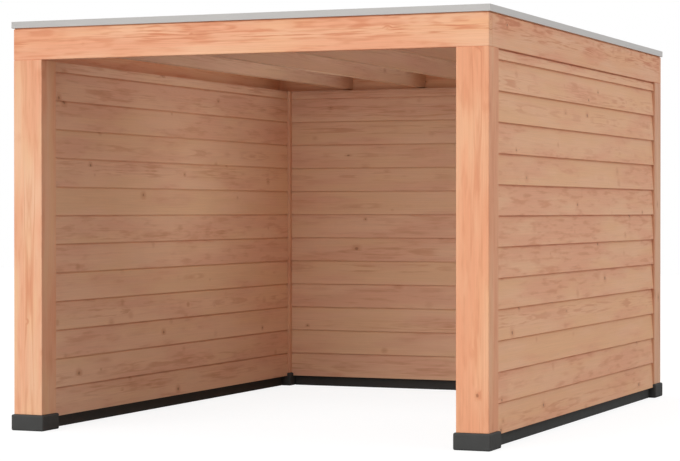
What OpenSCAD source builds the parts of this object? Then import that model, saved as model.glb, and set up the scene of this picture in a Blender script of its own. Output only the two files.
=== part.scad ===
// Garden canopy: four posts on dark feet, a ring of beams with a flat felted roof,
// double-skin timber walls on three sides and an open front.
// X runs left to right, Y from the open front to the back, Z up.
// The origin is on the ground, in the middle of the plan.

/* [Overall] */
// Width over the outer faces of the posts
canopy_w = 3060; // [2400:10:4200]
// Depth over the outer faces of the posts
canopy_d = 3915; // [2400:5:5000]
// Height from the ground to the top of the roof trim
canopy_h = 2500; // [2200:10:2900]

/* [Posts and beams] */
// Width of a post, seen from the front
post_w = 195; // [186:1:240]
// Depth of a post, from its front face to its back face
post_d = 175; // [150:1:240]
// Height of the ring beams
beam_h = 195; // [120:1:240]
// Thickness of the ring beams
beam_t = 60; // [40:1:90]

/* [Roof] */
// Thickness of a roof joist
joist_w = 58; // [38:1:80]
// Height of the joists' undersides above the beams' undersides
joist_lift = 10; // [4:1:40]
// Thickness of the roof deck
deck_t = 20; // [15:1:27]
// Thickness of the roof felt
felt_t = 3; // [2:1:5]
// Height of the metal roof trim
trim_h = 40; // [36:1:60]
// Distance the roof trim stands out from the beams
trim_out = 10; // [4:1:30]
// Sheet thickness of the roof trim
trim_t = 2; // [1.5:0.5:3]
// Width of the roof trim in plan
trim_w = 90; // [70:1:140]
// Width of the trim's flat top
trim_lip = 18; // [8:1:30]
// Distance from the trim's outer face to the foot of its inner slope
trim_foot = 63; // [45:1:68]

/* [Feet and plinth] */
// Height of a foot
foot_h = 98; // [85:1:140]
// Distance a foot stands out round its post
foot_lip = 14; // [4:1:30]
// Corner radius of a foot
foot_r = 10; // [3:1:20]
// Height of the plinth under the walls
plinth_h = 75; // [50:1:84]
// Distance from the outer wall face back to the plinth
plinth_set_out = 30; // [10:1:40]
// Distance from the inner wall face back to the plinth
plinth_set_in = 46; // [10:1:50]

/* [Walls] */
// Distance from a post's outer face back to the wall
wall_setback = 8; // [2:1:20]
// Thickness of the left and right walls
side_wall_t = 172; // [120:1:176]
// Thickness of the back wall
back_wall_t = 129; // [110:1:140]
// Thickness of the outer boards
outer_board_t = 22; // [16:1:28]
// Thickness of the inner boards
inner_board_t = 18; // [12:1:24]
// Thickness of a stud or rail inside a wall
stud_t = 45; // [38:1:60]
// Largest clear distance between studs
stud_gap = 360; // [250:5:385]

/* [Hidden] */
$fn = 48;
joist_count = 4;
half_w = canopy_w / 2;
half_d = canopy_d / 2;
// Levels
beam_top = canopy_h - trim_h;
beam_z = beam_top - beam_h;
felt_z = beam_top + deck_t;
wall_h = beam_z - plinth_h;
// Clear runs between the posts
side_run = canopy_d - 2 * post_d;
back_run = canopy_w - 2 * post_w;
// Joists
joist_z = beam_z + joist_lift;
joist_h = beam_top - joist_z;
joist_l = canopy_d - 2 * beam_t;
joist_pitch = (canopy_w - 2 * beam_t) / (joist_count + 1);
// The roof sheets stop against the trim's upright leg
roof_out = trim_out - trim_t;
// Clearance of the walls round the feet
foot_gap = 0.5;
// Extra length that carries a cut past the face it starts on
cut = 1;

// Centre of the post at one corner; side_x and side_y are -1 or 1
function corner(side_x, side_y) =
    [side_x * (half_w - post_w / 2), side_y * (half_d - post_d / 2), 0];

// Centre line of joist number i, counted from the left
function joist_x(i) = (i - (joist_count + 1) / 2) * joist_pitch;

// Rectangle centred on the origin with round corners
module round_rect(w, d, r) {
    square([w - 2 * r, d], center = true);
    square([w, d - 2 * r], center = true);
    for (x = [-1, 1], y = [-1, 1])
        translate([x * (w / 2 - r), y * (d / 2 - r)])
            circle(r);
}

module foot(side_x, side_y) {
    color([0.28, 0.28, 0.27])
        translate(corner(side_x, side_y))
            linear_extrude(foot_h)
                round_rect(post_w + 2 * foot_lip, post_d + 2 * foot_lip, foot_r);
}

module post(side_x, side_y) {
    color([0.88, 0.64, 0.48])
        translate(corner(side_x, side_y) + [-post_w / 2, -post_d / 2, foot_h])
            cube([post_w, post_d, beam_z - foot_h]);
}

// Plinth under one wall, drawn for a wall that runs along X with its outer face at y = 0
// and its room side towards +Y
module plinth(run, wall_t) {
    length = run - 2 * foot_lip;
    color([0.2, 0.2, 0.2])
        translate([-length / 2, plinth_set_out, 0])
            cube([length, wall_t - plinth_set_out - plinth_set_in, plinth_h]);
}

// Front or back ring beam; it covers the tops of two posts and shows its end grain
module long_beam(side_y) {
    color([0.9, 0.66, 0.5])
        translate([-half_w, side_y > 0 ? half_d - beam_t : -half_d, beam_z])
            cube([canopy_w, beam_t, beam_h]);
}

// Left or right ring beam, butted between the front and back beams
module cross_beam(side_x) {
    color([0.86, 0.62, 0.46])
        translate([side_x > 0 ? half_w - beam_t : -half_w, beam_t - half_d, beam_z])
            cube([beam_t, canopy_d - 2 * beam_t, beam_h]);
}

module joist(i) {
    color([0.76, 0.54, 0.4])
        translate([joist_x(i) - joist_w / 2, -joist_l / 2, joist_z])
            cube([joist_w, joist_l, joist_h]);
}

// What a foot's lip takes out of a wall piece: y is measured from the wall's outer face
module foot_notches(run, wall_t) {
    reach = foot_lip + foot_gap;
    for (x = [-run / 2 - cut, run / 2 - reach])
        translate([x, -cut, -cut])
            cube([reach + cut, wall_t + 2 * cut, foot_h + foot_gap + cut]);
}

// One upright layer of a wall, from y_in to y_in + thick behind the outer face
module wall_layer(run, wall_t, y_in, thick) {
    difference() {
        translate([-run / 2, y_in, plinth_h])
            cube([run, thick, wall_h]);
        foot_notches(run, wall_t);
    }
}

module outer_boards(run, wall_t) {
    color([0.82, 0.6, 0.45])
        wall_layer(run, wall_t, 0, outer_board_t);
}

module inner_boards(run, wall_t) {
    color([0.72, 0.52, 0.38])
        wall_layer(run, wall_t, wall_t - inner_board_t, inner_board_t);
}

// Studs between a sole rail and a head rail, filling the wall between its two skins
module wall_frame(run, wall_t) {
    depth = wall_t - outer_board_t - inner_board_t;
    bays = ceil((run - stud_t) / (stud_gap + stud_t));
    pitch = (run - stud_t) / bays;
    color([0.8, 0.7, 0.55])
        difference() {
            translate([-run / 2, outer_board_t, plinth_h])
                union() {
                    cube([run, depth, stud_t]);
                    translate([0, 0, wall_h - stud_t])
                        cube([run, depth, stud_t]);
                    for (i = [0:bays])
                        translate([i * pitch, 0, 0])
                            cube([stud_t, depth, wall_h]);
                }
            foot_notches(run, wall_t);
        }
}

// Puts a wall piece, drawn with its outer face at y = 0, in its place
module at_left() {
    translate([wall_setback - half_w, 0, 0])
        rotate([0, 0, -90])
            children();
}

module at_right() {
    translate([half_w - wall_setback, 0, 0])
        rotate([0, 0, 90])
            children();
}

module at_back() {
    translate([0, half_d - wall_setback, 0])
        rotate([0, 0, 180])
            children();
}

// Flat sheet that covers the whole roof inside the trim
module roof_sheet(z, thick) {
    translate([-half_w - roof_out, -half_d - roof_out, z])
        cube([canopy_w + 2 * roof_out, canopy_d + 2 * roof_out, thick]);
}

module roof_deck() {
    color([0.8, 0.68, 0.5])
        roof_sheet(beam_top, deck_t);
}

module roof_felt() {
    color([0.16, 0.16, 0.17])
        roof_sheet(felt_z, felt_t);
}

// Section of the trim: x runs inwards from the outer face, y up from the lower edge
module trim_section() {
    on_felt = deck_t + felt_t;
    polygon([
        [0, 0],
        [0, trim_h],
        [trim_lip, trim_h],
        [trim_foot, on_felt + trim_t],
        [trim_w, on_felt + trim_t],
        [trim_w, on_felt],
        [trim_foot - trim_t, on_felt],
        [trim_lip - trim_t, trim_h - trim_t],
        [trim_t, trim_h - trim_t],
        [trim_t, 0]
    ]);
}

// One length of trim along X with mitred ends and its outer face at y = 0
module trim_run(length) {
    color([0.74, 0.75, 0.76])
        intersection() {
            rotate([90, 0, 90])
                linear_extrude(length, center = true)
                    trim_section();
            linear_extrude(trim_h)
                polygon([
                    [-length / 2, 0],
                    [length / 2, 0],
                    [length / 2 - trim_w, trim_w],
                    [trim_w - length / 2, trim_w]
                ]);
        }
}

// Trim along the front or back edge
module long_trim(side_y) {
    translate([0, side_y * (half_d + trim_out), beam_top])
        rotate([0, 0, side_y > 0 ? 180 : 0])
            trim_run(canopy_w + 2 * trim_out);
}

// Trim along the left or right edge
module cross_trim(side_x) {
    translate([side_x * (half_w + trim_out), 0, beam_top])
        rotate([0, 0, side_x * 90])
            trim_run(canopy_d + 2 * trim_out);
}

foot(-1, -1);  // foot_front_left
foot(1, -1);  // foot_front_right
foot(-1, 1);  // foot_back_left
foot(1, 1);  // foot_back_right
at_left() plinth(side_run, side_wall_t);  // plinth_left
at_right() plinth(side_run, side_wall_t);  // plinth_right
at_back() plinth(back_run, back_wall_t);  // plinth_back
post(-1, -1);  // post_front_left
post(1, -1);  // post_front_right
post(-1, 1);  // post_back_left
post(1, 1);  // post_back_right
long_beam(-1);  // beam_front
long_beam(1);  // beam_back
cross_beam(-1);  // beam_left
cross_beam(1);  // beam_right
joist(1);  // joist_left_outer
joist(2);  // joist_left_inner
joist(3);  // joist_right_inner
joist(4);  // joist_right_outer
at_left() outer_boards(side_run, side_wall_t);  // left_wall_outer_boards
at_left() wall_frame(side_run, side_wall_t);  // left_wall_frame
at_left() inner_boards(side_run, side_wall_t);  // left_wall_inner_boards
at_right() outer_boards(side_run, side_wall_t);  // right_wall_outer_boards
at_right() wall_frame(side_run, side_wall_t);  // right_wall_frame
at_right() inner_boards(side_run, side_wall_t);  // right_wall_inner_boards
at_back() outer_boards(back_run, back_wall_t);  // back_wall_outer_boards
at_back() wall_frame(back_run, back_wall_t);  // back_wall_frame
at_back() inner_boards(back_run, back_wall_t);  // back_wall_inner_boards
roof_deck();
roof_felt();
long_trim(-1);  // roof_trim_front
long_trim(1);  // roof_trim_back
cross_trim(-1);  // roof_trim_left
cross_trim(1);  // roof_trim_right
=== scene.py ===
import math
import random

import bmesh
import bpy
from mathutils import Matrix, Vector


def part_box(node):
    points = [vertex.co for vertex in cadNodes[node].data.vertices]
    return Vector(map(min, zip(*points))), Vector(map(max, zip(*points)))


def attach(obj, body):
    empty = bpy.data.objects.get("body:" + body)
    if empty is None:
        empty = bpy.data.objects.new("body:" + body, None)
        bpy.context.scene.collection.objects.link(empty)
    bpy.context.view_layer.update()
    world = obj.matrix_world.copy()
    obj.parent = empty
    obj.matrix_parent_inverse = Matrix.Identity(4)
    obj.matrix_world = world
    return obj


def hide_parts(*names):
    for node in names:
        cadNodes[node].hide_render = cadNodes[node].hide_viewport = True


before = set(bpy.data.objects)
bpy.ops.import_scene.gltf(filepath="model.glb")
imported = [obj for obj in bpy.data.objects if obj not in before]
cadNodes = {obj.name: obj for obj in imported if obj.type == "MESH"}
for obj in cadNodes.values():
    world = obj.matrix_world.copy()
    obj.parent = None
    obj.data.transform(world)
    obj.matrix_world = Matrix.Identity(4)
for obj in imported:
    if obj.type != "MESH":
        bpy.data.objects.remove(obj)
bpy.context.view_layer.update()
print("canopy: frame loaded with", len(cadNodes), "nodes")


def addNode(tree, kind, inputs=None, **settings):
    # an input is a plain value or another node's output
    made = tree.nodes.new(kind)
    for name, value in settings.items():
        setattr(made, name, value)
    for key, value in (inputs or {}).items():
        if isinstance(value, bpy.types.NodeSocket):
            tree.links.new(value, made.inputs[key])
        else:
            made.inputs[key].default_value = value
    return made


def calc(tree, operation, *values, clamp=False):
    inputs = dict(enumerate(values))
    return addNode(tree, "ShaderNodeMath", inputs, operation=operation, use_clamp=clamp).outputs[0]


def vectorOf(tree, x=0.0, y=0.0, z=0.0):
    return addNode(tree, "ShaderNodeCombineXYZ", {0: x, 1: y, 2: z}).outputs[0]


def axesOf(tree, vector):
    return addNode(tree, "ShaderNodeSeparateXYZ", {0: vector}).outputs


def partsOf(tree, mixed):
    # the red, green and blue of a noise colour serve as three separate chances
    return addNode(tree, "ShaderNodeSeparateColor", {0: mixed}).outputs


def ramp(tree, value, low, high, start=0.0, end=1.0):
    # smooth step from start to end while value goes from low to high
    inputs = {"Value": value, "From Min": low, "From Max": high, "To Min": start, "To Max": end}
    return addNode(tree, "ShaderNodeMapRange", inputs, interpolation_type="SMOOTHSTEP").outputs[0]


def fade(tree, value, low, high):
    return ramp(tree, value, low, high, 1.0, 0.0)


def noise(tree, vector, detail=2.0, rough=0.5):
    inputs = {"Vector": vector, "Scale": 1.0, "Detail": detail, "Roughness": rough}
    return addNode(tree, "ShaderNodeTexNoise", inputs).outputs


def cells(tree, vector, **settings):
    return addNode(tree, "ShaderNodeTexVoronoi", {"Vector": vector, "Scale": 1.0}, **settings).outputs


def objectPlace(tree):
    return addNode(tree, "ShaderNodeTexCoord").outputs["Object"]


def scaledPlace(tree, scale):
    # scale is one number, or one for each axis
    factor = scale if isinstance(scale, tuple) else (scale,) * 3
    return addNode(tree, "ShaderNodeVectorMath", {0: objectPlace(tree), 1: factor},
                   operation="MULTIPLY").outputs[0]


def blendColour(tree, share, first, second):
    return addNode(tree, "ShaderNodeMix", {0: share, 6: first, 7: second}, data_type="RGBA").outputs[2]


def colour(code):
    # linear colour from a hex code
    parts = [int(code[i:i + 2], 16) / 255 for i in (1, 3, 5)]
    linear = [c / 12.92 if c <= 0.04045 else ((c + 0.055) / 1.055) ** 2.4 for c in parts]
    return (*linear, 1.0)


def newMaterial(name):
    made = bpy.data.materials.new(name)
    made.use_nodes = True
    tree = made.node_tree
    return made, tree, tree.nodes["Principled BSDF"]


def setSurface(tree, shader, tint, rough):
    tree.links.new(tint, shader.inputs["Base Color"])
    tree.links.new(rough, shader.inputs["Roughness"])


def setBump(tree, shader, height, look, **settings):
    bump = addNode(tree, "ShaderNodeBump", {"Height": height, "Strength": look["bumpStrength"],
                                            "Distance": look["bumpDistance"]}, **settings)
    tree.links.new(bump.outputs["Normal"], shader.inputs["Normal"])


def groupSocket(tree, name, kind, output=False):
    way = "OUTPUT" if output else "INPUT"
    tree.interface.new_socket(name=name, in_out=way, socket_type="NodeSocket" + kind)


timberFigure = {
    "heartPace": 0.7,       # how fast the heart wanders along the grain
    "knotSpacing": 0.75,    # along the grain
    "knotsRound": 6.0,      # places for a knot round the heart of the tree
    "knotsNear": 0.015,     # the least distance of a knot from the heart
    "knotsOut": 0.1,        # and how much further out it may lie
    "knotLong": 0.8,        # under 1 draws a knot out along the grain
    "knotLeast": 0.45,      # the smallest knot against the knot size
    "knotSpread": 0.9,      # and how much bigger the largest is
    "knotRagged": 0.6,      # how uneven a knot's edge is
    "raggedScale": 160.0,
    "knotEye": (0.15, 0.6),     # where each part of a knot fades out
    "knotCore": (0.55, 1.2),
    "knotHalo": (0.9, 4.0),
    "ringPush": 1.3,        # how far rings bend round a knot
    "ringWobble": 0.007,
    "ringPace": 45.0,       # how often rings change from narrow to wide
    "ringUneven": 1.6,      # and by how much
    "ringRise": (0.2, 0.85),    # the part of a ring in which it darkens
    "ringLeast": 0.2,       # the faintest ring
    "ringSpread": 0.9,
    "wobbleScale": (2.2, 14.0),     # along and across the grain, as in the next four
    "patchScale": (1.3, 8.0),
    "fleckScale": (4.5, 34.0),
    "streakScale": (2.4, 170.0),
    "fibreScale": (26.0, 900.0),
    "flameEdge": (0.46, 0.67),      # from where to where a mark sets in, as in the next five
    "yellowEdge": (0.38, 0.66),
    "redEdge": (0.4, 0.68),
    "clearEdge": (0.32, 0.62),
    "fleckEdge": (0.48, 0.70),
    "fleckArea": (0.46, 0.62),
    "flameFade": (0.65, 1.1),       # where flames end, against their reach
    "clearLeast": 0.3,      # what is left of rings and flames in clear wood
    "toneYellow": 0.2,      # how much a board's tone shifts each colour
    "toneRed": 0.14,
    "toneFleck": 0.25,
    "haloShare": 0.5,
    "coreShare": 0.85,
    "plainShade": 0.88,     # brightness, and what streaks and fibres add and a knot's eye takes away
    "streakShade": 0.15,
    "fibreShade": 0.09,
    "eyeShade": 0.1,
    "fibreHeight": 0.55,
    "ringHeight": 0.35,
    "knotHeight": 0.5,
    "rough": 0.58,
    "fibreRough": 0.14,
    "knotRough": 0.12,
    "bumpStrength": 0.35,
    "bumpDistance": 0.0012,
    "gloss": 0.25,
}
timberAmounts = ("Tone", "Heart Drift", "Ring Width", "Ring Contrast", "Flame", "Flame Size", "Flame Pace",
                 "Flame Reach", "Knot Share", "Knot Size", "Red Patches", "Fleck")
timberColours = ("Pale", "Yellow", "Red", "Late", "Knot")


def makeTimberGroup():
    # growth rings round a heart line, knots that start at it, fibres, flecks and red patches
    look = timberFigure
    tree = bpy.data.node_groups.new("timberFigure", "ShaderNodeTree")
    groupSocket(tree, "Grain", "Vector")
    for name in timberAmounts:
        groupSocket(tree, name, "Float")
    for name in timberColours:
        groupSocket(tree, name, "Color")
    groupSocket(tree, "Color", "Color", output=True)
    groupSocket(tree, "Height", "Float", output=True)
    groupSocket(tree, "Roughness", "Float", output=True)
    given = addNode(tree, "NodeGroupInput").outputs
    along, across, depth = axesOf(tree, given["Grain"])

    def stretched(scale, detail=2.0):
        # noise drawn out along the grain
        place = vectorOf(tree, calc(tree, "MULTIPLY", along, scale[0]),
                         calc(tree, "MULTIPLY", across, scale[1]),
                         calc(tree, "MULTIPLY", depth, scale[1]))
        return noise(tree, place, detail)

    # the heart wanders, so the rings close into arches on a face
    drift = addNode(tree, "ShaderNodeTexNoise", {
        "W": calc(tree, "MULTIPLY", along, look["heartPace"]), "Scale": 1.0, "Detail": 1.5},
        noise_dimensions="1D").outputs["Color"]
    wander = partsOf(tree, drift)
    swing = calc(tree, "MULTIPLY", given["Heart Drift"], 2.0)
    heartAcross = calc(tree, "MULTIPLY_ADD", wander[0], swing,
                       calc(tree, "SUBTRACT", across, given["Heart Drift"]))
    heartDepth = calc(tree, "MULTIPLY_ADD", wander[1], swing,
                      calc(tree, "SUBTRACT", depth, given["Heart Drift"]))
    squared = calc(tree, "MULTIPLY_ADD", heartAcross, heartAcross,
                   calc(tree, "MULTIPLY", heartDepth, heartDepth))
    radius = calc(tree, "SQRT", squared)
    turn = calc(tree, "DIVIDE", calc(tree, "ARCTAN2", heartDepth, heartAcross), 2 * math.pi)

    # knots: one place in each cell of a net laid along and round the heart, at its own distance from it
    cell = vectorOf(tree, calc(tree, "DIVIDE", along, look["knotSpacing"]),
                    calc(tree, "MULTIPLY", turn, look["knotsRound"]))
    net = cells(tree, cell, voronoi_dimensions="2D")
    gap = axesOf(tree, addNode(tree, "ShaderNodeVectorMath", {0: cell, 1: net["Position"]},
                               operation="SUBTRACT").outputs[0])
    gapAlong = calc(tree, "MULTIPLY", gap[0], look["knotSpacing"] * look["knotLong"])
    gapRound = calc(tree, "MULTIPLY", calc(tree, "MULTIPLY", gap[1], radius),
                    2 * math.pi / look["knotsRound"])
    raggedAt = addNode(tree, "ShaderNodeVectorMath", {0: given["Grain"], 3: look["raggedScale"]},
                       operation="SCALE").outputs[0]
    ragged = calc(tree, "MULTIPLY_ADD", noise(tree, raggedAt)["Fac"], look["knotRagged"],
                  1 - look["knotRagged"] / 2)
    chance = partsOf(tree, net["Color"])
    gapOut = calc(tree, "SUBTRACT", calc(tree, "SUBTRACT", radius, look["knotsNear"]),
                  calc(tree, "MULTIPLY", chance[2], look["knotsOut"]))
    gapFace = calc(tree, "MULTIPLY_ADD", gapOut, gapOut, calc(tree, "MULTIPLY", gapRound, gapRound))
    away = calc(tree, "SQRT", calc(tree, "MULTIPLY_ADD", gapAlong, gapAlong, gapFace))
    away = calc(tree, "MULTIPLY", away, ragged)
    kept = calc(tree, "LESS_THAN", chance[0], given["Knot Share"])
    size = calc(tree, "MULTIPLY", given["Knot Size"],
                calc(tree, "MULTIPLY_ADD", chance[1], look["knotSpread"], look["knotLeast"]))
    reach = calc(tree, "DIVIDE", away, size)
    core = calc(tree, "MULTIPLY", kept, fade(tree, reach, *look["knotCore"]))
    eye = calc(tree, "MULTIPLY", kept, fade(tree, reach, *look["knotEye"]))
    halo = calc(tree, "MULTIPLY", kept, fade(tree, reach, *look["knotHalo"]))
    push = calc(tree, "MULTIPLY", calc(tree, "MULTIPLY", halo, size), look["ringPush"])

    # rings, each with its own strength, and broader redder bands that follow them
    wobble = stretched(look["wobbleScale"], 3.0)["Fac"]
    bent = calc(tree, "MULTIPLY_ADD", wobble, 2 * look["ringWobble"], calc(tree, "ADD", radius, push))
    pace = addNode(tree, "ShaderNodeTexNoise", {
        "W": calc(tree, "MULTIPLY", bent, look["ringPace"]), "Scale": 1.0},
        noise_dimensions="1D").outputs["Fac"]
    phase = calc(tree, "MULTIPLY_ADD", pace, look["ringUneven"],
                 calc(tree, "DIVIDE", bent, given["Ring Width"]))
    inRing = calc(tree, "FRACT", phase)
    rise = ramp(tree, inRing, *look["ringRise"])
    fall = fade(tree, inRing, look["ringRise"][1], 1.0)
    strength = addNode(tree, "ShaderNodeTexWhiteNoise", {"W": calc(tree, "FLOOR", phase)},
                       noise_dimensions="1D").outputs["Value"]
    late = calc(tree, "MULTIPLY", calc(tree, "MULTIPLY", rise, fall),
                calc(tree, "MULTIPLY_ADD", strength, look["ringSpread"], look["ringLeast"]))
    flameAt = vectorOf(tree, calc(tree, "DIVIDE", bent, given["Flame Size"]),
                       calc(tree, "MULTIPLY", along, given["Flame Pace"]))
    flameField = addNode(tree, "ShaderNodeTexNoise", {"Vector": flameAt, "Scale": 1.0, "Detail": 2.5},
                         noise_dimensions="2D").outputs["Fac"]
    flame = calc(tree, "MULTIPLY", ramp(tree, flameField, *look["flameEdge"]),
                 fade(tree, calc(tree, "DIVIDE", radius, given["Flame Reach"]), *look["flameFade"]))

    # patches, flecks and fibres are stretched along the grain
    patch = partsOf(tree, stretched(look["patchScale"], 3.5)["Color"])
    fleckField = stretched(look["fleckScale"])["Fac"]
    streak = stretched(look["streakScale"], 3.0)["Fac"]
    fibre = stretched(look["fibreScale"])["Fac"]

    lean = calc(tree, "SUBTRACT", given["Tone"], 0.5)
    yellowAt = calc(tree, "SUBTRACT", patch[1], calc(tree, "MULTIPLY", lean, look["toneYellow"]))
    base = blendColour(tree, ramp(tree, yellowAt, *look["yellowEdge"]), given["Pale"], given["Yellow"])
    redAt = calc(tree, "MULTIPLY_ADD", lean, look["toneRed"], patch[0])
    fleckAt = calc(tree, "MULTIPLY_ADD", lean, look["toneFleck"], patch[0])
    redShare = calc(tree, "MULTIPLY", ramp(tree, redAt, *look["redEdge"]), given["Red Patches"])
    base = blendColour(tree, redShare, base, given["Red"])
    clear = ramp(tree, patch[2], *look["clearEdge"], look["clearLeast"])
    flameShare = calc(tree, "MULTIPLY", calc(tree, "MULTIPLY", flame, given["Flame"]), clear)
    base = blendColour(tree, flameShare, base, given["Late"])
    ringShare = calc(tree, "MULTIPLY", calc(tree, "MULTIPLY", late, given["Ring Contrast"]), clear,
                     clamp=True)
    base = blendColour(tree, ringShare, base, given["Late"])
    fleckShare = calc(tree, "MULTIPLY", ramp(tree, fleckField, *look["fleckEdge"]), given["Fleck"])
    fleckShare = calc(tree, "MULTIPLY", fleckShare, ramp(tree, fleckAt, *look["fleckArea"]))
    base = blendColour(tree, fleckShare, base, given["Late"])
    base = blendColour(tree, calc(tree, "MULTIPLY", halo, look["haloShare"]), base, given["Late"])
    base = blendColour(tree, calc(tree, "MULTIPLY", core, look["coreShare"]), base, given["Knot"])
    shade = calc(tree, "ADD", calc(tree, "MULTIPLY", streak, look["streakShade"]),
                 calc(tree, "MULTIPLY", fibre, look["fibreShade"]))
    shade = calc(tree, "SUBTRACT", calc(tree, "ADD", shade, look["plainShade"]),
                 calc(tree, "MULTIPLY", eye, look["eyeShade"]))
    base = addNode(tree, "ShaderNodeVectorMath", {0: base, 3: shade}, operation="SCALE").outputs[0]

    height = calc(tree, "MULTIPLY_ADD", fibre, look["fibreHeight"],
                  calc(tree, "MULTIPLY", late, look["ringHeight"]))
    height = calc(tree, "SUBTRACT", height, calc(tree, "MULTIPLY", core, look["knotHeight"]))
    rough = calc(tree, "MULTIPLY_ADD", fibre, look["fibreRough"], look["rough"])
    rough = calc(tree, "SUBTRACT", rough, calc(tree, "MULTIPLY", core, look["knotRough"]))
    addNode(tree, "NodeGroupOutput", {"Color": base, "Height": height, "Roughness": rough})
    return tree


timberGroup = makeTimberGroup()

timberLooks = {
    "postTimber": {"Pale": "#F8BD95", "Yellow": "#F7BA8D", "Red": "#F3A881", "Late": "#E3956F",
                   "Knot": "#B57654", "Heart Drift": 0.012, "Ring Width": 0.009, "Ring Contrast": 0.2,
                   "Flame": 0.8, "Flame Size": 0.007, "Flame Pace": 1.6, "Flame Reach": 0.055,
                   "Knot Share": 0.95, "Knot Size": 0.009, "Red Patches": 0.8, "Fleck": 0.4},
    "beamTimber": {"Pale": "#FBC39D", "Yellow": "#F9BC90", "Red": "#F5AC88", "Late": "#E08D66",
                   "Knot": "#B27352", "Heart Drift": 0.016, "Ring Width": 0.010, "Ring Contrast": 0.3,
                   "Flame": 0.9, "Flame Size": 0.011, "Flame Pace": 4.0, "Flame Reach": 0.1,
                   "Knot Share": 0.9, "Knot Size": 0.006, "Red Patches": 0.75, "Fleck": 0.5},
    "outerBoardTimber": {"Pale": "#FAC29A", "Yellow": "#F8BF92", "Red": "#F3AE8A", "Late": "#E49B75",
                         "Knot": "#B47856", "Heart Drift": 0.014, "Ring Width": 0.010,
                         "Ring Contrast": 0.08, "Flame": 0.75, "Flame Size": 0.010, "Flame Pace": 3.4,
                         "Flame Reach": 0.05, "Knot Share": 0.5, "Knot Size": 0.010,
                         "Red Patches": 0.7, "Fleck": 0.7},
    # the inner boards' own wood, with a greyer palette than the outer boards: painted shade for the grey of
    # the room's shade
    "shadedInnerBoardTimber": {"Pale": "#F7C9A8", "Yellow": "#F4C7A1", "Red": "#EDB498", "Late": "#D3936F",
                         "Knot": "#B27F60", "Heart Drift": 0.014, "Ring Width": 0.010,
                         "Ring Contrast": 0.08, "Flame": 0.55, "Flame Size": 0.010, "Flame Pace": 3.4,
                         "Flame Reach": 0.05, "Knot Share": 0.5, "Knot Size": 0.010,
                         "Red Patches": 0.6, "Fleck": 0.38},
    # the joists are darker and greyer than the beams: painted shade for the shade under the roof
    "shadedJoistTimber": {"Pale": "#E9BFA2", "Yellow": "#E6BE9C", "Red": "#DFAD93", "Late": "#CB9276",
                    "Knot": "#A87A5C", "Heart Drift": 0.02, "Ring Width": 0.010, "Ring Contrast": 0.15,
                    "Flame": 0.5, "Flame Size": 0.009, "Flame Pace": 3.0, "Flame Reach": 0.07,
                    "Knot Share": 0.3, "Knot Size": 0.007, "Red Patches": 0.5, "Fleck": 0.35},
    "frameTimber": {"Pale": "#DDBE93", "Yellow": "#D9BA88", "Red": "#CFA97C", "Late": "#B98E60",
                    "Knot": "#7E5A40", "Heart Drift": 0.02, "Ring Width": 0.006, "Ring Contrast": 0.6,
                    "Flame": 0.3, "Flame Size": 0.012, "Flame Pace": 2.0, "Flame Reach": 0.2,
                    "Knot Share": 0.35, "Knot Size": 0.012, "Red Patches": 0.4, "Fleck": 0.3},
    "deckTimber": {"Pale": "#E6CAAE", "Yellow": "#E3C7A6", "Red": "#DCB89F", "Late": "#C9A083",
                   "Knot": "#9C7454", "Heart Drift": 0.02, "Ring Width": 0.008, "Ring Contrast": 0.3,
                   "Flame": 0.3, "Flame Size": 0.012, "Flame Pace": 2.0, "Flame Reach": 0.1,
                   "Knot Share": 0.4, "Knot Size": 0.009, "Red Patches": 0.5, "Fleck": 0.4},
}
# the left front post is paler than the right one, and the back posts are plainer
timberLooks["palePostTimber"] = dict(timberLooks["postTimber"], Pale="#F9C6A2", Yellow="#F8C49A",
                                     Red="#F4AE8A")
timberLooks["backPostTimber"] = dict(timberLooks["shadedInnerBoardTimber"], Pale="#F1BD9A", Yellow="#EFBA94",
                                     Red="#E8A98A", Flame=0.5)


def makeTimber(name, ownGrain):
    # ownGrain reads the grain that each piece carries; without it the wood runs along the object's X
    made, tree, shader = newMaterial(name)
    inputs = {key: colour(value) if isinstance(value, str) else value
              for key, value in timberLooks[name].items()}
    if ownGrain:
        inputs["Grain"] = addNode(tree, "ShaderNodeAttribute", attribute_name="grain").outputs["Vector"]
        inputs["Tone"] = addNode(tree, "ShaderNodeAttribute", attribute_name="tone").outputs["Fac"]
    else:
        inputs["Grain"] = objectPlace(tree)
        inputs["Tone"] = 0.5
    figure = addNode(tree, "ShaderNodeGroup", inputs, node_tree=timberGroup).outputs
    setSurface(tree, shader, figure["Color"], figure["Roughness"])
    setBump(tree, shader, figure["Height"], timberFigure)
    shader.inputs["Specular IOR Level"].default_value = timberFigure["gloss"]
    return made


baseGreyLook = {
    "dark": "#434342",
    "pale": "#555554",
    "pit": "#333332",
    "sandScale": 900.0,
    "cloudScale": 14.0,
    "pitScale": 210.0,
    "pitEdge": (0.12, 0.3),
    "pitShare": 0.35,
    "roughFrom": 0.7,
    "roughTo": 0.85,
    "gloss": 0.15,
    "bumpStrength": 0.4,
    "bumpDistance": 0.0008,
}


def makeBaseGrey():
    # cast dark grey: fine sand, small pits and pale bloom
    look = baseGreyLook
    made, tree, shader = newMaterial("baseGrey")
    sand = noise(tree, scaledPlace(tree, look["sandScale"]))["Fac"]
    cloud = noise(tree, scaledPlace(tree, look["cloudScale"]), 4.0)["Fac"]
    pits = cells(tree, scaledPlace(tree, look["pitScale"]))["Distance"]
    pit = fade(tree, pits, *look["pitEdge"])
    halfSand = calc(tree, "MULTIPLY", sand, 0.5)
    share = calc(tree, "MULTIPLY_ADD", cloud, 0.5, halfSand, clamp=True)
    tint = blendColour(tree, share, colour(look["dark"]), colour(look["pale"]))
    tint = blendColour(tree, calc(tree, "MULTIPLY", pit, look["pitShare"]), tint, colour(look["pit"]))
    setSurface(tree, shader, tint, ramp(tree, sand, 0.3, 0.7, look["roughFrom"], look["roughTo"]))
    setBump(tree, shader, calc(tree, "SUBTRACT", halfSand, pit), look)
    shader.inputs["Specular IOR Level"].default_value = look["gloss"]
    return made


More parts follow.
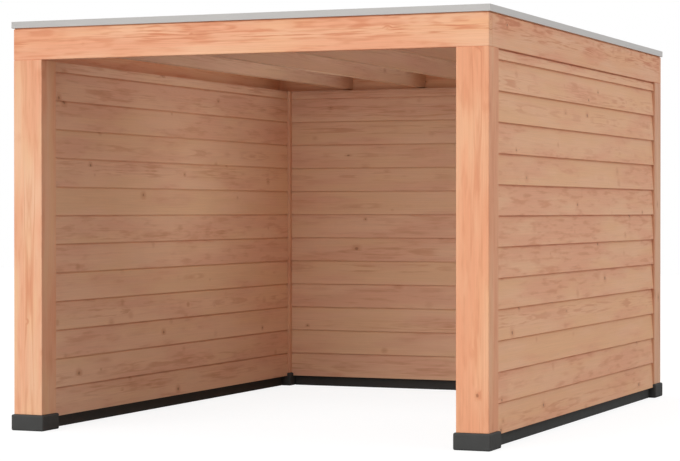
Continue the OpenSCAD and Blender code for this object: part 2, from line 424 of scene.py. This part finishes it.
trimMetalLook = {
    "dark": "#C2BFBC",
    "pale": "#CECBC8",
    "cloudScale": 3.0,
    "lineScale": (6.0, 6.0, 1400.0),    # rolling lines lie along the strip
    "rough": 0.36,
    "cloudRough": 0.1,
    "lineRough": 0.12,
    "metal": 0.5,
    "bumpStrength": 0.06,
    "bumpDistance": 0.0004,
}


def makeTrimMetal():
    # satin aluminium with rolling lines and soft clouding
    look = trimMetalLook
    made, tree, shader = newMaterial("trimMetal")
    cloud = noise(tree, scaledPlace(tree, look["cloudScale"]), 4.0)["Fac"]
    lines = noise(tree, scaledPlace(tree, look["lineScale"]))["Fac"]
    rough = calc(tree, "MULTIPLY_ADD", cloud, look["cloudRough"], look["rough"])
    rough = calc(tree, "MULTIPLY_ADD", lines, look["lineRough"], rough)
    setSurface(tree, shader, blendColour(tree, cloud, colour(look["dark"]), colour(look["pale"])), rough)
    setBump(tree, shader, lines, look)
    shader.inputs["Metallic"].default_value = look["metal"]
    return made


zincLook = {
    "dark": "#8C8D8C",
    "pale": "#A9AAA8",
    "spangleScale": 130.0,
    "cloudScale": 25.0,
    "spangleShare": 0.6,    # against the clouding, which has the rest
    "roughFrom": 0.34,
    "roughTo": 0.55,
    "metal": 0.85,
}


def makeZincSteel():
    # galvanised nails with their spangle
    look = zincLook
    made, tree, shader = newMaterial("zincSteel")
    flake = partsOf(tree, cells(tree, scaledPlace(tree, look["spangleScale"]))["Color"])[0]
    cloud = noise(tree, scaledPlace(tree, look["cloudScale"]), 3.0)["Fac"]
    share = calc(tree, "MULTIPLY_ADD", flake, look["spangleShare"],
                 calc(tree, "MULTIPLY", cloud, 1 - look["spangleShare"]), clamp=True)
    tint = blendColour(tree, share, colour(look["dark"]), colour(look["pale"]))
    setSurface(tree, shader, tint, ramp(tree, flake, 0.0, 1.0, look["roughFrom"], look["roughTo"]))
    shader.inputs["Metallic"].default_value = look["metal"]
    return made


feltLook = {
    "dark": "#2E2F31",
    "pale": "#54565A",
    "worn": "#606060",
    "gritScale": 620.0,
    "cloudScale": 2.2,
    "wornEdge": (0.4, 0.75),
    "wornShare": 0.45,
    "roughFrom": 0.75,
    "roughTo": 0.95,
    "bumpStrength": 0.5,
    "bumpDistance": 0.0012,
}


def makeFeltFinish():
    # mineral felt: slate grains in dark bitumen
    look = feltLook
    made, tree, shader = newMaterial("roofFelt")
    grit = cells(tree, scaledPlace(tree, look["gritScale"]))
    grain = partsOf(tree, grit["Color"])[0]
    cloud = noise(tree, scaledPlace(tree, look["cloudScale"]), 5.0, 0.6)["Fac"]
    tint = blendColour(tree, grain, colour(look["dark"]), colour(look["pale"]))
    worn = ramp(tree, cloud, *look["wornEdge"], 0.0, look["wornShare"])
    tint = blendColour(tree, worn, tint, colour(look["worn"]))
    setSurface(tree, shader, tint, ramp(tree, grain, 0.0, 1.0, look["roughFrom"], look["roughTo"]))
    setBump(tree, shader, grit["Distance"], look, invert=True)
    return made


bitumenLook = {
    "dark": "#161617",
    "pale": "#2B2B2D",
    "runScale": 35.0,
    "runEdge": (0.35, 0.65),
    "roughFrom": 0.32,
    "roughTo": 0.6,
}


def makeFeltBitumen():
    # the bitumen that melts out along a lap: black, and smoother where it ran
    look = bitumenLook
    made, tree, shader = newMaterial("feltBitumen")
    ran = noise(tree, scaledPlace(tree, look["runScale"]), 3.0)["Fac"]
    share = ramp(tree, ran, *look["runEdge"])
    tint = blendColour(tree, share, colour(look["dark"]), colour(look["pale"]))
    rough = ramp(tree, ran, *look["runEdge"], look["roughFrom"], look["roughTo"])
    setSurface(tree, shader, tint, rough)
    return made


materials = {name: makeTimber(name, name != "frameTimber") for name in timberLooks}
materials["baseGrey"] = makeBaseGrey()
materials["trimMetal"] = makeTrimMetal()
materials["zincSteel"] = makeZincSteel()
materials["roofFelt"] = makeFeltFinish()
materials["feltBitumen"] = makeFeltBitumen()
print("canopy: materials made:", len(materials))


def newPiece(name, mesh, material):
    piece = bpy.data.objects.new(name, mesh)
    bpy.context.scene.collection.objects.link(piece)
    mesh.materials.clear()
    mesh.materials.append(materials[material])
    return piece


def finishPiece(piece, slot, *nodes):
    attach(piece, "root")
    if nodes:
        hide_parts(*nodes)


def setGrain(mesh, alongAxis, heart, shift, tone):
    # heart is a point that the tree's heart line passes through, beside or inside the piece
    axes = {"x": (0, 2, 1), "y": (1, 2, 0), "z": (2, 0, 1)}[alongAxis]
    mesh.attributes.new("grain", "FLOAT_VECTOR", "POINT")
    mesh.attributes.new("tone", "FLOAT", "POINT")
    # fetched only once both are there, because adding one moves the other
    grain = mesh.attributes["grain"].data
    tones = mesh.attributes["tone"].data
    for i, vertex in enumerate(mesh.vertices):
        local = vertex.co - heart
        grain[i].vector = (local[axes[0]] + shift, local[axes[1]], local[axes[2]])
        tones[i].value = tone


def closedMesh(shape, name):
    # turns every face outwards and gives back a plain mesh
    bmesh.ops.recalc_face_normals(shape, faces=shape.faces)
    mesh = bpy.data.meshes.new(name)
    shape.to_mesh(mesh)
    shape.free()
    return mesh


easing = {
    "merge": 1e-5,          # corners this close are one
    "flat": 1.0,            # degrees between faces that count as one face
    "sharp": 50.0,          # degrees from which an edge is rounded
    "topDepth": 1e-4,       # an edge this close under the top is a top edge
}


def easedCopy(node, material, ease, segments, topEase=None):
    # the CAD shape with its sharp edges rounded, the top ones by topEase where that is given
    shape = bmesh.new()
    shape.from_mesh(cadNodes[node].data)
    bmesh.ops.remove_doubles(shape, verts=shape.verts, dist=easing["merge"])
    bmesh.ops.dissolve_limit(shape, angle_limit=math.radians(easing["flat"]), verts=shape.verts,
                             edges=shape.edges)
    if topEase:
        top = max(v.co.z for v in shape.verts) - easing["topDepth"]
        upper = [e for e in shape.edges if all(v.co.z > top for v in e.verts)]
        bmesh.ops.bevel(shape, geom=upper, offset=topEase, segments=1, affect="EDGES")
    sharpFrom = math.radians(easing["sharp"])
    sharp = [e for e in shape.edges if e.is_manifold and e.calc_face_angle() > sharpFrom]
    bmesh.ops.bevel(shape, geom=sharp, offset=ease, segments=segments, profile=0.5, affect="EDGES",
                    clamp_overlap=True)
    return newPiece(node, closedMesh(shape, node), material)


def extrudedOutline(name, outline, length):
    # outline is a list of (depth, height); the bar runs along X and is centred on it
    shape = bmesh.new()
    start = [shape.verts.new((-length / 2, d, h)) for d, h in outline]
    end = [shape.verts.new((length / 2, d, h)) for d, h in outline]
    for i in range(len(outline)):
        j = (i + 1) % len(outline)
        shape.faces.new((start[i], start[j], end[j], end[i]))
    shape.faces.new(start)
    shape.faces.new(end)
    return closedMesh(shape, name)


def arc(centre, radius, fromDegrees, toDegrees, steps):
    points = []
    for i in range(steps + 1):
        turn = math.radians(fromDegrees + (toDegrees - fromDegrees) * i / steps)
        points.append((centre[0] + radius * math.cos(turn), centre[1] + radius * math.sin(turn)))
    return points


def newGeometryTree(name, sockets):
    # sockets gives the kind of each input besides the geometry
    tree = bpy.data.node_groups.new(name, "GeometryNodeTree")
    groupSocket(tree, "Geometry", "Geometry")
    groupSocket(tree, "Geometry", "Geometry", output=True)
    for socket, kind in sockets.items():
        groupSocket(tree, socket, kind)
    return tree, addNode(tree, "NodeGroupInput").outputs


def finishTree(tree, geometry, material):
    made = addNode(tree, "GeometryNodeSetMaterial", {"Geometry": geometry, "Material": material})
    addNode(tree, "NodeGroupOutput", {0: made.outputs[0]})


def makeBoardRows():
    # rows of one board up a wall, each cut from another place in another log
    tree, given = newGeometryTree("boardRows", {
        "Rows": "Int", "Pitch": "Float", "First Height": "Float", "Heart Across": "Float",
        "Heart Near": "Float", "Heart Far": "Float", "Seed": "Int", "Material": "Material"})
    row = addNode(tree, "GeometryNodeMeshLine", {
        "Count": given["Rows"], "Start Location": vectorOf(tree, z=given["First Height"]),
        "Offset": vectorOf(tree, z=given["Pitch"])}, mode="OFFSET")
    index = addNode(tree, "GeometryNodeInputIndex").outputs[0]
    boards = addNode(tree, "GeometryNodeInstanceOnPoints", {
        "Points": row.outputs[0], "Instance": given["Geometry"]})
    numbered = addNode(tree, "GeometryNodeStoreNamedAttribute", {
        "Geometry": boards.outputs[0], "Name": "board", "Value": index},
        data_type="INT", domain="INSTANCE")
    solid = addNode(tree, "GeometryNodeRealizeInstances", {0: numbered.outputs[0]})
    board = addNode(tree, "GeometryNodeInputNamedAttribute", {"Name": "board"},
                    data_type="INT").outputs[0]

    def chance(low, high, step):
        seed = calc(tree, "ADD", given["Seed"], float(step))
        made = addNode(tree, "FunctionNodeRandomValue", {2: low, 3: high, "ID": board, "Seed": seed})
        return made.outputs[1]

    place = axesOf(tree, addNode(tree, "GeometryNodeInputPosition").outputs[0])
    middle = calc(tree, "MULTIPLY_ADD", calc(tree, "ADD", board, 0.5), given["Pitch"], given["First Height"])
    across = calc(tree, "SUBTRACT", place[2], middle)
    across = calc(tree, "ADD", across, calc(tree, "MULTIPLY", chance(-1.0, 1.0, 1), given["Heart Across"]))
    along = calc(tree, "ADD", place[0], chance(-grainShift, grainShift, 2))
    depth = calc(tree, "ADD", place[1], chance(given["Heart Near"], given["Heart Far"], 3))
    grain = addNode(tree, "GeometryNodeStoreNamedAttribute", {
        "Geometry": solid.outputs[0], "Name": "grain", "Value": vectorOf(tree, along, across, depth)},
        data_type="FLOAT_VECTOR", domain="POINT")
    tone = addNode(tree, "GeometryNodeStoreNamedAttribute", {
        "Geometry": grain.outputs[0], "Name": "tone", "Value": chance(0.0, 1.0, 4)},
        data_type="FLOAT", domain="POINT")
    finishTree(tree, tone.outputs[0], given["Material"])
    return tree


def makeNailGrid():
    # one nail head at every crossing of the rows and the columns
    tree, given = newGeometryTree("nailGrid", {
        "Columns": "Int", "Rows": "Int", "Width": "Float", "Height": "Float", "Depth": "Float",
        "Bottom": "Float", "Lean": "Float", "Material": "Material"})
    grid = addNode(tree, "GeometryNodeMeshGrid", {
        "Size X": given["Width"], "Size Y": given["Height"], "Vertices X": given["Columns"],
        "Vertices Y": given["Rows"]})
    place = axesOf(tree, addNode(tree, "GeometryNodeInputPosition").outputs[0])
    up = calc(tree, "ADD", calc(tree, "MULTIPLY_ADD", given["Height"], 0.5, place[1]), given["Bottom"])
    upright = addNode(tree, "GeometryNodeSetPosition", {
        "Geometry": grid.outputs[0], "Position": vectorOf(tree, place[0], given["Depth"], up)})
    heads = addNode(tree, "GeometryNodeInstanceOnPoints", {
        "Points": upright.outputs[0], "Instance": given["Geometry"],
        "Rotation": vectorOf(tree, given["Lean"])})
    solid = addNode(tree, "GeometryNodeRealizeInstances", {0: heads.outputs[0]})
    finishTree(tree, solid.outputs[0], given["Material"])
    return tree


grainShift = 60.0           # metres of log either way that a piece may be cut from
boardRows = makeBoardRows()
nailGrid = makeNailGrid()


def runTree(piece, tree, values):
    # sets the inputs by identifier, then keeps the result as a plain mesh
    modifier = piece.modifiers.new(tree.name, "NODES")
    modifier.node_group = tree
    identifiers = {item.name: item.identifier for item in tree.interface.items_tree
                   if item.in_out == "INPUT"}
    for name, value in values.items():
        modifier[identifiers[name]] = value
    view = bpy.context.evaluated_depsgraph_get()
    mesh = bpy.data.meshes.new_from_object(piece.evaluated_get(view), preserve_all_data_layers=True,
                                           depsgraph=view)
    piece.modifiers.clear()
    piece.data = mesh


timberWork = {
    "postEase": 0.004,
    "beamEase": 0.004,
    "beamTopEase": 0.008,   # chamfer under the roof trim
    "joistEase": 0.001,
    "segments": 3,
    "joistSeed": 11,
    "joistHeart": 0.05,     # how far the heart may lie from a joist's middle
}


def makeStick(node, material, slot, alongAxis, heartOffset, shift, tone):
    low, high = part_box(node)
    kind = node.split("_")[0]
    piece = easedCopy(node, material, timberWork[kind + "Ease"], timberWork["segments"],
                      timberWork.get(kind + "TopEase"))
    setGrain(piece.data, alongAxis, (low + high) / 2 + Vector(heartOffset), shift, tone)
    finishPiece(piece, slot, node)


# timber, the heart line's place beside the post's middle, the place along the log, and tone
posts = {
    "post_front_left": ("palePostTimber", (0.010, -0.055, 0), 3.1, 0.4),
    "post_front_right": ("postTimber", (0.024, -0.055, 0), 17.3, 0.95),
    "post_back_left": ("backPostTimber", (-0.05, 0.03, 0), 29.7, 0.5),
    "post_back_right": ("backPostTimber", (0.055, 0.03, 0), 41.9, 0.6),
}
for node, (timber, offset, shift, tone) in posts.items():
    makeStick(node, timber, "post_timber", "z", offset, shift, tone)

# the axis that the beam lies along, and then as for the posts
beams = {
    "beam_front": ("x", (0, -0.004, 0.06), 5.7, 0.6),
    "beam_back": ("x", (0, 0.01, 0.05), 23.1, 0.5),
    "beam_left": ("y", (-0.008, 0, 0.06), 37.9, 0.5),
    "beam_right": ("y", (0.006, 0, 0.065), 51.3, 0.45),
}
for node, (axis, offset, shift, tone) in beams.items():
    makeStick(node, "beamTimber", "beam_timber", axis, offset, shift, tone)

chooser = random.Random(timberWork["joistSeed"])
heartRoom = timberWork["joistHeart"]
for node in sorted(cadNodes):
    if node.startswith("joist_"):
        offset = (chooser.uniform(-heartRoom, heartRoom), 0, chooser.uniform(-heartRoom, heartRoom))
        shift = chooser.uniform(-grainShift, grainShift)
        makeStick(node, "shadedJoistTimber", "joist_timber", "y", offset, shift, chooser.random())
print("canopy: posts, beams and joists made")


outerBoard = {
    "pitch": 0.1775,        # height that one board covers
    "taper": 0.0135,        # how much further back a board's face is at its top
    "grooveHigh": 0.0075,   # open joint under the board above
    "grooveDeep": 0.0165,   # how far back the joint reaches
    "cover": 0.009,         # tongue behind the board above
    "round": 0.002,         # rounding of the bottom edge
    "roundSteps": 4,
    "slack": 0.0004,
    "endGap": 0.0008,
    "leastCut": 0.018,      # a top board lower than this is left out
    "heartAcross": 0.055,   # the log's heart, beside and behind the board's face
    "heartNear": 0.008,
    "heartFar": 0.05,
    "cutHeart": -0.012,     # and where it is for the top board
    "cutTone": 0.6,
}
innerBoard = dict(outerBoard, taper=0.0055, grooveHigh=0.009, grooveDeep=0.0105, round=0.0015)


def lappedOutline(look, thick, height, tongue):
    # (depth behind the face, height) round one board, which is thinner towards its top
    slope = look["taper"] / look["pitch"]
    lip = look["grooveDeep"] - look["slack"]
    rebate = look["cover"] + 2 * look["slack"]
    radius = look["round"]
    shoulder = height - look["grooveHigh"]
    top = height + (look["cover"] if tongue else 0.0)
    bottomEdge = arc((radius, radius), radius, 270, 180, look["roundSteps"])
    topEdge = [(slope * shoulder, shoulder), (look["grooveDeep"], shoulder), (look["grooveDeep"], top),
               (thick, top)]
    return bottomEdge + topEdge + [(thick, rebate), (lip, rebate), (lip, 0.0)]


# turn is the way a wall faces, axis the one that it runs along (0 is X, 1 is Y), and the top boards are
# cut from topShift along their log
walls = {
    "left": {"turn": -90, "axis": 1, "seed": 21, "topShift": 35.7},
    "right": {"turn": 90, "axis": 1, "seed": 47, "topShift": 79.9},
    "back": {"turn": 180, "axis": 0, "seed": 73, "topShift": 124.1},
}


def rowsIn(low, high, pitch):
    # whole boards up a wall; a hair is added, so that rounding doesn't lose the last one
    return int((high.z - low.z + 1e-6) / pitch)


def wallPlace(wall, node, inside):
    # the matrix that puts a board drawn along X, with its face at y = 0, on its wall
    low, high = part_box(node)
    middle = (low + high) / 2
    turn = math.radians(walls[wall]["turn"] + (180 if inside else 0))
    outwards = Matrix.Rotation(turn, 4, "Z") @ Vector((0, -1, 0))
    thick = (high - low)[1 - walls[wall]["axis"]]
    face = Vector((middle.x, middle.y, 0)) + outwards * thick / 2
    return Matrix.Translation(face) @ Matrix.Rotation(turn, 4, "Z")


def makeBoards(wall, layer, look, material, slot):
    node = wall + "_wall_" + layer + "_boards"
    low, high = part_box(node)
    axis = walls[wall]["axis"]
    run = (high - low)[axis] - 2 * look["endGap"]
    thick = (high - low)[1 - axis]
    place = wallPlace(wall, node, layer == "inner")
    rows = rowsIn(low, high, look["pitch"])

    outline = lappedOutline(look, thick, look["pitch"], True)
    boards = newPiece(node, extrudedOutline(node, outline, run), material)
    runTree(boards, boardRows, {
        "Rows": rows, "Pitch": look["pitch"], "First Height": low.z, "Heart Across": look["heartAcross"],
        "Heart Near": look["heartNear"], "Heart Far": look["heartFar"], "Seed": walls[wall]["seed"],
        "Material": materials[material]})
    boards.data.transform(place)
    finishPiece(boards, slot, node)

    # the last board is sawn to what is left under the beam
    start = low.z + rows * look["pitch"]
    left = high.z - start
    if left > look["leastCut"]:
        name = wall + "_wall_" + layer + "_top_board"
        top = newPiece(name, extrudedOutline(name, lappedOutline(look, thick, left, False), run), material)
        top.data.transform(Matrix.Translation((0, 0, start)))
        heart = Vector((0, look["cutHeart"], high.z))
        setGrain(top.data, "x", heart, walls[wall]["topShift"], look["cutTone"])
        top.data.transform(place)
        finishPiece(top, slot, node)
    return rows


for wall in walls:
    rows = makeBoards(wall, "outer", outerBoard, "outerBoardTimber", "outer_board_timber")
    makeBoards(wall, "inner", innerBoard, "shadedInnerBoardTimber", "inner_board_timber")
    frameNode = cadNodes[wall + "_wall_frame"]
    frameNode.data.materials.clear()
    frameNode.data.materials.append(materials["frameTimber"])
    print("canopy:", wall, "wall boarded with", rows, "rows")

wallNail = {
    "radius": 0.0017,
    "sides": 10,
    "crown": 0.8,           # width of the head's top against its foot
    "stand": 0.0004,        # how far a head stands out of the board
    "sunk": 0.0004,         # and how far its foot lies in it
    "studWidth": 0.045,
    "studGap": 0.36,
    "upBoard": 0.03,        # height of the nail above the board's bottom edge
}


def nailHead(name):
    # a low dome that points to -Y
    shape = bmesh.new()
    bmesh.ops.create_circle(shape, cap_ends=True, segments=wallNail["sides"], radius=wallNail["radius"])
    raised = bmesh.ops.extrude_face_region(shape, geom=list(shape.faces))["geom"]
    for vertex in raised:
        if isinstance(vertex, bmesh.types.BMVert):
            vertex.co.x *= wallNail["crown"]
            vertex.co.y *= wallNail["crown"]
            vertex.co.z += wallNail["sunk"] + wallNail["stand"]
    bmesh.ops.rotate(shape, verts=shape.verts, matrix=Matrix.Rotation(math.radians(90), 3, "X"))
    return closedMesh(shape, name)


def makeWallNails(wall):
    node = wall + "_wall_outer_boards"
    low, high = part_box(node)
    span = (high - low)[walls[wall]["axis"]] - wallNail["studWidth"]
    bays = math.ceil(span / (wallNail["studGap"] + wallNail["studWidth"]))
    rows = rowsIn(low, high, outerBoard["pitch"])
    slope = outerBoard["taper"] / outerBoard["pitch"]
    nails = newPiece(wall + "_wall_nails", nailHead(wall + "Nails"), "zincSteel")
    runTree(nails, nailGrid, {
        "Columns": bays + 1, "Rows": rows, "Width": span, "Height": (rows - 1) * outerBoard["pitch"],
        "Depth": slope * wallNail["upBoard"] + wallNail["sunk"], "Bottom": low.z + wallNail["upBoard"],
        "Lean": -math.atan(slope), "Material": materials["zincSteel"]})
    nails.data.transform(wallPlace(wall, node, False))
    finishPiece(nails, "nail_steel")


for wall in walls:
    makeWallNails(wall)
print("canopy: wall nails set")


baseWork = {
    "footRound": 0.013,
    "footSegments": 4,
    "plinthRound": 0.003,
    "plinthSegments": 2,
}
for node in sorted(cadNodes):
    kind = node.split("_")[0]
    if kind in ("foot", "plinth"):
        base = easedCopy(node, "baseGrey", baseWork[kind + "Round"], baseWork[kind + "Segments"])
        finishPiece(base, "base_grey", node)
print("canopy: feet and plinth made")


deckBoard = {
    "pitch": 0.14,
    "groove": 0.004,
    "slack": 0.0003,
    "heartAcross": 0.05,
    "heartNear": 0.02,
    "heartFar": 0.08,
    "seed": 5,
}


def makeDeck():
    # tongued boards across the joists, with a small V at each joint on the underside
    low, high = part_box("roof_deck")
    size = high - low
    rows = round(size.y / deckBoard["pitch"])
    pitch = size.y / rows
    v = deckBoard["groove"]
    end = pitch - deckBoard["slack"]
    # depth is measured up from the underside, height is along the roof
    outline = [(0.0, v), (0.0, pitch - v), (v, end), (size.z, end), (size.z, 0.0), (v, 0.0)]
    deck = newPiece("roof_deck_boards", extrudedOutline("roofDeck", outline, size.x), "deckTimber")
    runTree(deck, boardRows, {
        "Rows": rows, "Pitch": pitch, "First Height": 0.0, "Heart Across": deckBoard["heartAcross"],
        "Heart Near": deckBoard["heartNear"], "Heart Far": deckBoard["heartFar"],
        "Seed": deckBoard["seed"], "Material": materials["deckTimber"]})
    # the rows go up in the tree; here they are laid down, from front to back
    laid = Matrix(((1, 0, 0, (low.x + high.x) / 2), (0, 0, 1, low.y), (0, 1, 0, low.z), (0, 0, 0, 1)))
    deck.data.transform(laid)
    deck.data.flip_normals()
    finishPiece(deck, "deck_timber", "roof_deck")


feltWork = {
    "sheetWidth": 1.0,
    "lap": 0.08,
    "baseThick": 0.0016,
    "lapThick": 0.0012,
    "bleed": 0.009,         # how far bitumen runs out onto the sheet before
    "bleedDip": 0.0003,     # and how far its edge lies in that sheet
}


def makeFelt():
    # strips from side to side, each lapping over the one before it
    low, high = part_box("roof_felt")
    size = high - low
    count = math.ceil((size.y - feltWork["lap"]) / (feltWork["sheetWidth"] - feltWork["lap"]))
    step = (size.y - feltWork["lap"]) / count
    flat = low.z + feltWork["baseThick"]
    finish = []             # 1 for the face that is bitumen
    shape = bmesh.new()
    for i in range(count):
        y0 = low.y + i * step
        y1 = y0 + step + feltWork["lap"]
        bend = y0 + feltWork["lap"]
        section = [(y0, low.z), (bend, low.z), (y1, low.z), (y1, flat), (bend, flat), (y0, flat)]
        if i:
            section[0] = (y0 - feltWork["bleed"], flat - feltWork["bleedDip"])
            section[-1] = (y0, flat + feltWork["lapThick"])
        left, right = [[shape.verts.new((x, y, z)) for y, z in section] for x in (low.x, high.x)]
        for a in range(len(section)):
            b = (a + 1) % len(section)
            shape.faces.new((left[a], left[b], right[b], right[a]))
            finish.append(1 if i and b == 0 else 0)
        shape.faces.new(left)
        shape.faces.new(right)
        finish += [0, 0]
    sheets = newPiece("roof_felt_sheets", closedMesh(shape, "roofFelt"), "roofFelt")
    sheets.data.materials.append(materials["feltBitumen"])
    sheets.data.polygons.foreach_set("material_index", finish)
    finishPiece(sheets, "roof_felt", "roof_felt")


makeDeck()
makeFelt()
trimWork = {"round": 0.0007, "segments": 2}
for node in sorted(cadNodes):
    if node.startswith("roof_trim_"):
        trim = easedCopy(node, "trimMetal", trimWork["round"], trimWork["segments"])
        finishPiece(trim, "trim_aluminium", node)
print("canopy: roof made")


stageLook = {
    "floorSize": 60.0,
    "floorBounce": 0.36,    # how pale the floor is to light that falls on the canopy
    "floorGlow": 0.86,      # what the camera sees of the floor besides its lit part
    "floorShade": 0.2,
    "worldStrength": 0.98,
    "frontShade": 0.8,      # how much darker the surroundings are towards the open front
    "keyStrength": 1.86,
    "keyAim": (0.35, 1.0, -0.45),
    "keyAngle": 50.0,       # degrees, wide and so soft
    "roofFill": 0.34,       # soft light under the roof, so that the room isn't a dark hole
    "roofTint": (0.8, 1.03, 1.22),
    "roofShare": 0.88,      # how much of the room's depth the panel takes up
    "roofDrop": 0.006,      # how far it hangs under the roof boards
    "roomFill": 8.5,        # watts of a softer light in the middle of the room
    "roomTint": (0.83, 1.0, 1.0),
    "roomSoft": 0.5,        # radius of that light
    "roomPlace": (-0.4, 0.1, 1.5),
}


def grey(value):
    return (value, value, value, 1.0)


def makeFloor():
    mesh = bpy.data.meshes.new("floor")
    half = stageLook["floorSize"] / 2
    mesh.from_pydata([(-half, -half, 0), (half, -half, 0), (half, half, 0), (-half, half, 0)], [],
                     [(0, 1, 2, 3)])
    material = bpy.data.materials.new("paleFloor")
    material.use_nodes = True
    tree = material.node_tree
    tree.nodes.clear()
    seen = addNode(tree, "ShaderNodeAddShader", {
        0: addNode(tree, "ShaderNodeBsdfDiffuse", {"Color": grey(stageLook["floorShade"])}).outputs[0],
        1: addNode(tree, "ShaderNodeEmission", {"Color": grey(1.0),
                                                "Strength": stageLook["floorGlow"]}).outputs[0]})
    plain = addNode(tree, "ShaderNodeBsdfDiffuse", {"Color": grey(stageLook["floorBounce"])})
    camera = addNode(tree, "ShaderNodeLightPath").outputs["Is Camera Ray"]
    mixed = addNode(tree, "ShaderNodeMixShader", {0: camera, 1: plain.outputs[0], 2: seen.outputs[0]})
    addNode(tree, "ShaderNodeOutputMaterial", {"Surface": mixed.outputs[0]})
    mesh.materials.append(material)
    floor = bpy.data.objects.new("floor", mesh)
    bpy.context.scene.collection.objects.link(floor)


def makeWorld():
    world = bpy.data.worlds.new("studio")
    bpy.context.scene.world = world
    world.use_nodes = True
    tree = world.node_tree
    tree.nodes.clear()
    path = addNode(tree, "ShaderNodeLightPath").outputs
    shown = calc(tree, "MAXIMUM", calc(tree, "MAXIMUM", path["Is Camera Ray"], path["Is Glossy Ray"]),
                 path["Is Transmission Ray"])
    aim = axesOf(tree, addNode(tree, "ShaderNodeTexCoord").outputs["Generated"])
    ahead = calc(tree, "MAXIMUM", calc(tree, "MULTIPLY", aim[1], -1.0), 0.0)
    light = calc(tree, "MULTIPLY", stageLook["worldStrength"],
                 calc(tree, "MULTIPLY_ADD", ahead, -stageLook["frontShade"], 1.0))
    strength = calc(tree, "MAXIMUM", light, shown)
    sky = addNode(tree, "ShaderNodeBackground", {"Color": grey(1.0), "Strength": strength})
    addNode(tree, "ShaderNodeOutputWorld", {"Surface": sky.outputs[0]})


def makeLamp(name, kind, strength):
    lamp = bpy.data.lights.new(name, kind)
    lamp.energy = strength
    holder = bpy.data.objects.new(name, lamp)
    holder.visible_camera = False
    holder.visible_glossy = False
    bpy.context.scene.collection.objects.link(holder)
    return lamp, holder


def makeLamps():
    # a wide soft light from the front left
    lamp, holder = makeLamp("keyLight", "SUN", stageLook["keyStrength"])
    lamp.angle = math.radians(stageLook["keyAngle"])
    holder.rotation_mode = "QUATERNION"
    holder.rotation_quaternion = Vector(stageLook["keyAim"]).to_track_quat("-Z", "Y")

    # a soft panel under the roof boards
    left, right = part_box("left_wall_inner_boards")[1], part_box("right_wall_inner_boards")[0]
    front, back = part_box("beam_front")[1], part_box("back_wall_inner_boards")[0]
    wide, deep = right.x - left.x, back.y - front.y
    lamp, holder = makeLamp("roofPanel", "AREA", stageLook["roofFill"] * wide * deep * math.pi)
    lamp.shape = "RECTANGLE"
    lamp.size = wide
    lamp.size_y = deep * stageLook["roofShare"]
    lamp.color = stageLook["roofTint"]
    middle = ((left.x + right.x) / 2, (front.y + back.y) / 2)
    holder.location = (*middle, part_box("roof_deck")[0].z - stageLook["roofDrop"])

    # and a soft ball of light in the room
    lamp, holder = makeLamp("roomLamp", "POINT", stageLook["roomFill"])
    lamp.shadow_soft_size = stageLook["roomSoft"]
    lamp.color = stageLook["roomTint"]
    aside, inward, high = stageLook["roomPlace"]
    holder.location = (middle[0] + aside, middle[1] + inward, high)


cameraLook = {
    "lens": 114.17,
    "sensor": 36.0,
    "stand": (5.3628, -13.3976, 1.3457),
    "turn": 0.3922,         # radians to the left of straight ahead
    "tilt": -0.0092,
}


def makeCamera():
    lens = bpy.data.cameras.new("camera")
    lens.lens = cameraLook["lens"]
    lens.sensor_width = cameraLook["sensor"]
    camera = bpy.data.objects.new("camera", lens)
    bpy.context.scene.collection.objects.link(camera)
    camera.location = cameraLook["stand"]
    camera.rotation_euler = (math.pi / 2 + cameraLook["tilt"], 0, cameraLook["turn"])
    bpy.context.scene.camera = camera


makeFloor()
makeWorld()
makeLamps()
makeCamera()
bpy.context.scene.view_settings.view_transform = "Standard"
print("canopy: floor, light and camera set")
